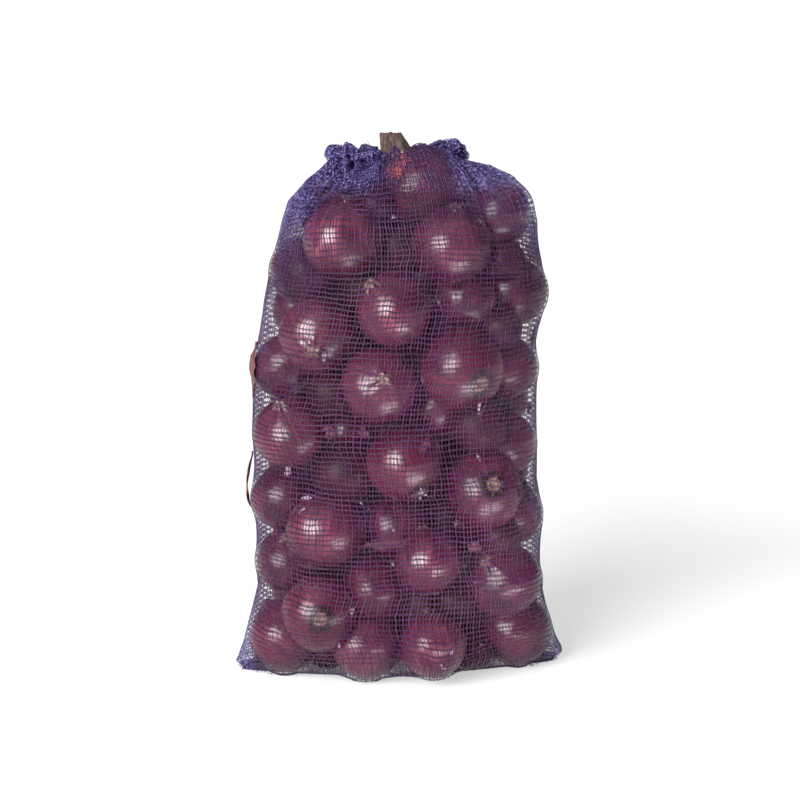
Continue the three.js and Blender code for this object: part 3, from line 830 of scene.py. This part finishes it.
def make_seam(skin, tree):
    """The stitched seam along the lowest seen edge of the foot, where its dark colour also paints the shade
    under the curling net.
    """
    ring = arange(skin.columns)
    edge = skin.points[skin.foot_row:skin.foot_row + 5]
    sag = (edge[..., 1] * .2 + edge[..., 2]).argmin(0).astype(float)
    for _ in range(6):
        sag = (np.roll(sag, 1) + 2 * sag + np.roll(sag, -1)) / 4
    path = skin.at(skin.foot_row + sag, ring)[0]
    path[:, 2] = maximum(path[:, 2], SEAM_WIDTH / 2 + .2)
    tape_piece("foot_seam", tree, seam_material(), SEAM_WIDTH, SEAM_THICKNESS, path,
               [(i, (i + 1) % skin.columns) for i in range(skin.columns)],
               out=unit(skin.normals[skin.foot_row + 2] * (1, 1, 0)), wide=.9 + .1 * sin(2.4 * ring))


def make_hem(skin, tree, finish):
    """The cut tape ends that fringe the foot's two corners, and a few loose ends on the ruffle."""
    rng = default_rng(29)
    strands = []
    for corner, sign in ((0, 1), (skin.columns // 2, -1)):
        for _ in range(FRINGE_STRANDS):
            column = corner + FRINGE_COLUMNS * rng.uniform(-1, 1)
            row = skin.foot_row + rng.uniform(0, 3)
            start, normal = (v[0] for v in skin.at(array([row]), array([column])))
            way = unit(array([.9 * sign, -.25, -.35]) + .5 * normal + rng.normal(size=3) * .35)
            bend = rng.normal(size=3) * .25
            length = rng.uniform(2, 4.6)
            line = array([start + length * (way * t + bend * t * t) for t in (0, .35, .7, 1)])
            line[:, 2] = maximum(line[:, 2], FLOOR_GAP * .6)
            strands.append((line, normal, rng.uniform(.4, .7)))
    lip = skin.points[-7]
    for i in range(LIP_THREADS):
        column = rng.integers(0, skin.columns)
        length = rng.uniform(1.5, 4)
        if i == 0:  # the one long end that the photograph shows
            column, length = int(abs(lip[:, 0] + 27).argmin()), 9
        way = array([rng.uniform(-.4, .4), rng.uniform(-.4, .1), 1])
        curl = array([rng.uniform(-.5, .5), -.1, -.2])
        line = array([lip[column] + length * (way * t + curl * t * t) for t in linspace(0, 1, 6)])
        strands.append((line, array([.0, -1.0, .0]), rng.uniform(.3, .5)))
    edges, offset = [], 0
    for line, _, _ in strands:
        edges += [(offset + i, offset + i + 1) for i in range(len(line) - 1)]
        offset += len(line)
    tape_piece("sewn_hem", tree, finish, TAPES["course"][0], TAPE_THICKNESS,
               concatenate([line for line, _, _ in strands]), edges,
               out=concatenate([np.tile(normal, (len(line), 1)) for line, normal, _ in strands]),
               wide=concatenate([np.full(len(line), width) for line, _, width in strands]),
               layers=np.full(offset, .8))


# ---- onions

def onion_kind(number):
    """An onion of radius 1, its neck up: a globe with shallow lobes, a root plate, a creased neck and an
    outer leaf that has partly peeled away."""
    rng = default_rng(100 + number)
    knots = array(ONION_PROFILE)
    knots[:, 0] *= rng.uniform(.95, 1.03)
    t = linspace(0, 1, ALONG)
    profile = resampled(knots, t)
    for _ in range(2):
        profile[2:-3] = (profile[1:-4] + 2 * profile[2:-3] + profile[3:-2]) / 4
    height, radius = profile.T
    tt, phi = np.meshgrid(t[1:-1], arange(AROUND) / AROUND * 2 * pi, indexing="ij")
    belly = sin(pi * tt)
    lobes = 0
    for waves, size in ONION_LOBES:
        lobes = lobes + size * rng.uniform(.6, 1.2) * cos(waves * phi + rng.uniform(0, 6.3) + .8 * tt)
    neck = share(tt, .80, .92)
    creases = neck * (.16 * cos(5 * phi + 4 * tt + rng.uniform(0, 6)) + .08 * cos(9 * phi - 6 * tt))
    peel = (.45 * sin(phi + rng.uniform(0, 6)) + .35 * sin(2 * phi + rng.uniform(0, 6) + 3 * tt)
            + .12 * sin(7 * phi + 9 * tt) + .08 * sin(13 * phi - 17 * tt)
            + 1.4 * (tt - rng.uniform(.35, .65)))
    sheet = clip(peel / .05 + .5, 0, 1)
    wide = radius[1:-1, None] * (1 + lobes * belly + creases) + .010 * sheet * belly
    lean = rng.uniform(-.05, .05, 2)
    upper = share(tt, .75, 1) ** 2
    z = height[1:-1, None] + .03 * neck * cos(3 * phi + 1) * (tt > .93)
    rings = stack([wide * cos(phi) + lean[0] * upper, wide * sin(phi) + lean[1] * upper, z], -1)
    points, faces = tube(rings, [(0, 0, height[0]), (*lean, height[-1] - .06)])
    pole = concatenate([[0], tt.ravel(), [1]])
    skin = stack([cos(phi), sin(phi), 3 * tt], -1).reshape(-1, 3)
    skin = concatenate([[[0, 0, 0]], skin, [[0, 0, 3]]]) + number * 5.0
    sheet = concatenate([[0], sheet.ravel(), [0]])
    for end, rings in ((.0, root_hairs(rng, height[1])), (1.0, neck_leaves(rng, height[-2]))):
        for hair in rings:
            tuft, tuft_faces = tube(hair)
            faces += [tuple(len(points) + k for k in face) for face in tuft_faces]
            points = concatenate([points, tuft])
            pole = concatenate([pole, np.full(len(tuft), end)])
            skin = concatenate([skin, tuft * 3])
            sheet = concatenate([sheet, np.zeros(len(tuft))])
    return make_mesh("onion_kind_%d" % number, points / MM, faces, skin=skin, pole=pole, sheet=sheet)


def spoke(turn):
    """The level directions out from an axis and round it."""
    return array([(cos(turn), sin(turn), 0), (-sin(turn), cos(turn), 0)])


def root_hairs(rng, height):
    """Rings of the short dry roots that spread from the root plate: three-sided, bent and tapering."""
    hairs = []
    for _ in range(ROOTS):
        out, aside = spoke(rng.uniform(0, 2 * pi))
        start = out * rng.uniform(.02, .10) + UP * (height + .01)
        length = rng.uniform(.12, .27)
        bend = rng.uniform(-.5, .5)
        rings = []
        for t in linspace(0, 1, 4):
            middle = start + length * (out * (.5 * t + .5 * t * t) + aside * bend * t * t
                                       + UP * (-.32 * t + .25 * t * t))
            rings.append([middle + .016 * (1 - .75 * t) * (aside * cos(a) + UP * sin(a))
                          for a in arange(3) * 2 * pi / 3])
        hairs.append(rings)
    return hairs


def neck_leaves(rng, height):
    """Rings of the dry torn leaf ends that fold out from the neck over the shoulder, each a thin wedge."""
    leaves = []
    for leaf in range(NECK_LEAVES):
        out, aside = spoke((leaf + rng.uniform(-.3, .3)) / NECK_LEAVES * 2 * pi)
        length = rng.uniform(.12, .26)
        wide = rng.uniform(.04, .08)
        rings = []
        for t in linspace(0, 1, 5):
            drop = height - .045 - .10 * t - .5 * (length * t) ** 2 / .9
            middle = out * (.08 + length * t) + UP * (drop + .03 * sin(pi * t))
            half = wide * (1 - .85 * t ** 1.5)
            rings.append([middle + aside * half * side + UP * lift
                          for side, lift in ((-1, -.016), (1, -.016), (1, .002), (-1, .002))])
        leaves.append(rings)
    return leaves


def heap_tree(kinds):
    """Puts one of the onion kinds on every point, turned and sized as the point's attributes say."""
    tree, given = new_tree("onion heap")
    instances = tree.nodes.new("GeometryNodeGeometryToInstance")
    for kind in reversed(kinds):
        tree.links.new(add(tree, "ObjectInfo", {"Object": kind}, "Geometry"), instances.inputs[0])
    choice, axis, side, size = (
        add(tree, "InputNamedAttribute", {"Name": name}, "Attribute", data_type=data) for name, data in (
            ("kind", "INT"), ("neck", "FLOAT_VECTOR"), ("side", "FLOAT_VECTOR"), ("size", "FLOAT")))
    turned = add(tree, "FunctionNodeAxesToRotation", {"Primary Axis": axis, "Secondary Axis": side},
                 primary_axis="Z", secondary_axis="X")
    placed = add(tree, "InstanceOnPoints", {
        "Points": given["Geometry"], "Instance": instances.outputs[0], "Pick Instance": True,
        "Instance Index": choice, "Rotation": turned, "Scale": size})
    return end_tree(tree, placed, given["Finish"])


def press_together(points, owner, onions):
    """Flattens each onion where it presses on a neighbour or on the floor, so that none overlap."""
    middles, radii = array([o[0] for o in onions]), array([o[1] for o in onions])
    for i in np.unique(owner):
        place = points[owner == i]
        for j in range(len(onions)):
            apart = middles[j] - middles[i]
            distance = norm(apart)
            if j == i or distance > radii[i] + radii[j]:
                continue
            away = apart / distance
            limit = (distance ** 2 + radii[i] ** 2 - radii[j] ** 2) / (2 * distance) - CONTACT_GAP
            over = (place - middles[i]) @ away - limit
            place = place - away * maximum(over, 0)[:, None]
        place[:, 2] = maximum(place[:, 2], FLOOR_GAP + .8)
        points[owner == i] = place
    return points


def make_onions(onions, outer_count):
    """The whole heap, in pieces by height so that each stays small. The first ones touch the net."""
    kinds = [onion_kind(number) for number in range(ONION_KINDS)]
    tree = heap_tree(kinds)
    outer_finish = onion_skin_material("papery red onion skin", "#f2d8e6", .28, 1.0)
    # Onions deep in the heap: their darker skin is painted shade.
    inner_finish = onion_skin_material("red onion skin with painted shade", "#957a8a", .5, .1)
    rng = default_rng(5)
    tones = rng.uniform(0, 1, len(onions))
    choices = rng.integers(0, ONION_KINDS, len(onions))
    sides = rng.normal(size=(len(onions), 3))
    for name, low, high, deep in ONION_PIECES:
        chosen = [i for i, o in enumerate(onions) if low <= o[0][2] < high and deep == (i >= outer_count)]
        source = make_mesh(name + "_places", [onions[i][0] for i in chosen], kind=choices[chosen],
                           neck=[onions[i][2] for i in chosen], side=sides[chosen],
                           size=[onions[i][1] * MM for i in chosen], tone=tones[chosen])
        piece = grown(name, source, tree, {"Finish": inner_finish if deep else outer_finish})
        mesh = piece.data
        count = len(mesh.vertices)
        flat = np.empty(count * 3)
        mesh.vertices.foreach_get("co", flat)
        pressed = press_together(flat.reshape(-1, 3) / MM, np.repeat(chosen, count // len(chosen)), onions)
        mesh.vertices.foreach_set("co", (pressed * MM).ravel())
        for key in ("neck", "side", "size", "kind"):
            if key in mesh.attributes:
                mesh.attributes.remove(mesh.attributes[key])
        mesh.update()
        finish_piece(piece, "onion_skin", "net_sack")
    for kind in kinds:
        bpy.data.objects.remove(kind)


# ---- the dry neck, loose skins and flakes

def make_dry_neck():
    """The brown stalk in the mouth: squarish and creased, with a hollow ragged top and a sheath that slopes
    away at its right. It is darker towards its right, and its hollow top is darkened inside with painted
    shade."""
    angle = arange(STALK_SIDES) / STALK_SIDES * 2 * pi
    t = linspace(0, 1, STALK_RINGS)[:, None]
    c, s = cos(angle), sin(angle)
    left, right = STALK["left"] + 1.6 * (1 - t), STALK["right"] + STALK["sheath"] * (1 - t)
    crease = 1 + .05 * cos(7 * angle + 2 * t) + .05 * cos(15 * angle + 5 * t + 1)
    reach = (abs(c) ** 3.2 + abs(s) ** 3.2) ** (-1 / 3.2) * crease
    x = (left + right) / 2 + (right - left) / 2 * c * reach
    y = RUFFLE_BACK + .5 * STALK["thickness"] * (1.15 - .15 * t) * s * reach
    z = STALK["foot"] + (STALK["top"] - STALK["foot"]) * t
    z = z + (.5 * sin(5 * angle) + .4 * sin(13 * angle)) * t ** 3
    rings = list(stack([x, y, z], -1))
    dark = list(share(x, STALK["right"] - 3.5, STALK["right"] - 1).ravel())
    top = rings[-1]
    for depth, size in ((.5, .86), (1.6, .7), (2.2, .45)):
        ring = top.mean(0) + (top - top.mean(0)) * size
        ring[:, 2] = top[:, 2] - depth
        rings.append(ring)
    # The stalk is darker towards its right side, and inside its hollow top it is darkened part way with
    # painted shade.
    dark = [0, *dark, *[.35] * (3 * STALK_SIDES + 1)]
    piece = make_mesh("dry_neck_stalk", *tube(rings, [rings[0].mean(0), rings[-1].mean(0)]), dark=dark)
    piece.data.materials.append(dry_skin_material(
        "dried onion neck", [(.3, "#1e1211"), (.48, "#3a2823"), (.7, "#63493d")], 200.0, 5.0, (.7, .6),
        .75, sheath=[(.3, "#1d1614"), (.7, "#4d4038")]))
    finish_piece(piece, "dry_skin", "dry_neck", sharp=50)


def leaves_piece(name, leaves, looks, node):
    """One piece from closed thin leaves, each given as its inner and its outer grid of points. looks are
    its material's name and its dark and light colour."""
    points, faces = [], []
    for inner, outer in leaves:
        rows, width = inner.shape[:2]
        first, top = len(points), len(points) + rows * width
        for i in range(rows - 1):
            for a in range(i * width, i * width + width - 1):
                faces.append([first + k for k in (a, a + width, a + width + 1, a + 1)])
                faces.append([top + k for k in (a, a + 1, a + width + 1, a + width)])
        number = arange(rows * width).reshape(rows, width)
        rim = [*number[0], *number[1:, -1], *number[-1, -2::-1], *number[-2:0:-1, 0]]
        for a, b in zip(rim, rim[1:] + rim[:1]):
            faces.append([int(k) for k in (first + a, first + b, top + b, top + a)])
        points += [*inner.reshape(-1, 3), *outer.reshape(-1, 3)]
    piece = make_mesh(name, points, faces)
    finish, dark, light = looks
    piece.data.materials.append(dry_skin_material(finish, [(.3, dark), (.7, light)]))
    finish_piece(piece, "dry_skin", node, sharp=40)


def make_loose_skins(skin):
    """The two dry leaves that cling to the outside of the net at its left edge."""
    left = skin.columns // 2
    heights = skin.points[skin.foot_row:skin.side_rows, left, 2]
    t = linspace(0, 1, 40)[:, None]
    s = linspace(-1, 1, 16)[None]
    for name, node, low, high, round_, width, near, far, dark, light in LOOSE_SKINS:
        half = .5 * width * (.25 + .75 * sin(pi * clip(t, .02, .98)) ** .7)
        half = half * (1 + .10 * sin(23 * t) + .06 * sin(41 * t + 1))
        row = interp(low + (high - low) * t + 0 * s, heights, arange(len(heights)) + skin.foot_row)
        points, normals = skin.at(row, left + (round_ + s * half) * skin.columns / GIRTH)
        lift = near + (far - near) * sin(pi * t) ** 1.5 * (.8 + .2 * sin(7 * t + 2.5 * s))
        lift = (lift + 1.2 * s * s * t + .3 * sin(19 * t + 5 * s))[..., None]
        leaves_piece(name, [(points + normals * lift, points + normals * (lift + LOOSE_SKIN_THICKNESS))],
                     ("loose dry onion skin " + node.split("_")[-1], dark, light), node)


def make_flakes(skin):
    """Torn bits of dry skin that the onions have shed, pressed against the inside of the net. The pale ones
    are lighter in part as a painted highlight.
    """
    rng = default_rng(31)
    t = linspace(-1, 1, 15)[:, None]
    s = linspace(-1, 1, 7)[None]
    for name, (dark, light, places) in FLAKES.items():
        leaves = []
        for x, z, length, width, turn in places:
            row, column = skin.nearest(x, z)
            up = norm(skin.points[row + 1, column] - skin.points[row - 1, column]) / 2
            across = norm(skin.points[row, (column + 1) % skin.columns] - skin.points[row, column])
            torn = 1 + .25 * sin(5 * t + rng.uniform(0, 6)) + .2 * sin(11 * t + rng.uniform(0, 6))
            half = .5 * width * (.08 + .92 * (1 - t * t) ** .6) * torn
            b = .5 * length * t + .06 * length * sin(4 * s + rng.uniform(0, 6))
            a = s * half + .15 * width * sin(2 * t + rng.uniform(0, 6))
            c, sn = cos(radians(turn)), sin(radians(turn))
            points, normals = skin.at(row + (b * c - a * sn) / up, column + (a * c + b * sn) / across)
            depth = FLAKE_DEPTH + .25 * sin(3 * t + 2 * s + rng.uniform(0, 6))[..., None]
            leaves.append((points - normals * (depth + FLAKE_THICKNESS), points - normals * depth))
        leaves_piece(name, leaves, (name.replace("_", " "), dark, light), "net_sack")


def make_top_patch():
    """The dry, orange-red outer leaf that still covers one shoulder of the top onion."""
    middle, radius = array(SEEN_ONIONS[0][:3], float), SEEN_ONIONS[0][3]
    facing = unit(PATCH_FACING)
    right = unit(np.cross((0, 0, 1), facing))
    up = np.cross(facing, right)
    t, s = np.meshgrid(linspace(0, 1, 26), linspace(0, 1, 26), indexing="ij")
    (left_end, right_end), (low_end, high_end) = PATCH["across"], PATCH["up"]
    torn = 1.5 * sin(17 * t) + 1.0 * sin(31 * t + 1)
    a = left_end + (right_end - left_end) * s + torn * (2 * s - 1)
    b = low_end + (high_end - low_end) * t + 1.6 * sin(13 * s) * (2 * t - 1)
    way = unit(facing * radius + right * a[..., None] + up * b[..., None])
    reach = radius + .25 + .15 * sin(9 * s + 4 * t)[..., None]
    leaves_piece("top_onion_dry_leaf", [(middle + way * reach, middle + way * (reach + .2))],
                 ("dry orange onion skin", "#85302f", "#d8705e"), "net_sack")


# ---- stage, lights and camera

def make_stage():
    """A plain pale floor, soft studio lights and the camera at the photograph's angle."""
    scene = bpy.context.scene
    corners = [(x * FLOOR_SIZE, y * FLOOR_SIZE, 0) for x, y in ((-1, -1), (1, -1), (1, 1), (-1, 1))]
    floor = make_mesh("floor", corners, [(0, 1, 2, 3)])
    material, tree = new_material("pale studio floor")
    cover(tree, {"Base Color": colour("#c4c4c6"), "Roughness": .95, "IOR": 1.2,
                 "Emission Color": colour("#ffffff"), "Emission Strength": FLOOR_GLOW})
    floor.data.materials.append(material)
    world = bpy.data.worlds.new("studio")
    world.use_nodes = True
    background = world.node_tree.nodes["Background"].inputs
    background["Color"].default_value = colour("#ffffff")
    background["Strength"].default_value = ROOM_LIGHT
    scene.world = world
    scene.view_settings.view_transform = "Standard"
    for name, kind, place, aim, strength, spread in LIGHTS:
        data = bpy.data.lights.new(name, kind)
        data.energy = strength
        if kind == "SUN":
            data.angle = radians(spread)
        else:
            data.shape = "RECTANGLE"
            data.size, data.size_y = REFLECTOR_SIZE
        light = bpy.data.objects.new(name, data)
        scene.collection.objects.link(light)
        light.location = place
        light.rotation_euler = (Vector(aim) - Vector(place)).to_track_quat("-Z", "Y").to_euler()
        light.visible_camera = False
    lens = bpy.data.cameras.new("camera")
    lens.sensor_width = SENSOR_WIDTH
    lens.lens = SENSOR_WIDTH * CAMERA_DISTANCE / FIELD_WIDTH
    camera = bpy.data.objects.new("camera", lens)
    scene.collection.objects.link(camera)
    back = Vector((0, -cos(CAMERA_ELEVATION), sin(CAMERA_ELEVATION)))
    camera.location = Vector((0, 0, AIM_Z)) + back * CAMERA_DISTANCE
    camera.rotation_euler = (-back).to_track_quat("-Z", "Y").to_euler()
    scene.camera = camera


# ---- the finished scene

outer_onions = placed_onions()
skin = Skin(outer_onions)
make_net(skin)
inner_onions = listed(BURIED_ONIONS)
inner_onions += hidden_onions(outer_onions + inner_onions, skin)
make_onions(outer_onions + inner_onions, len(outer_onions))
make_dry_neck()
make_loose_skins(skin)
make_flakes(skin)
make_top_patch()
make_stage()
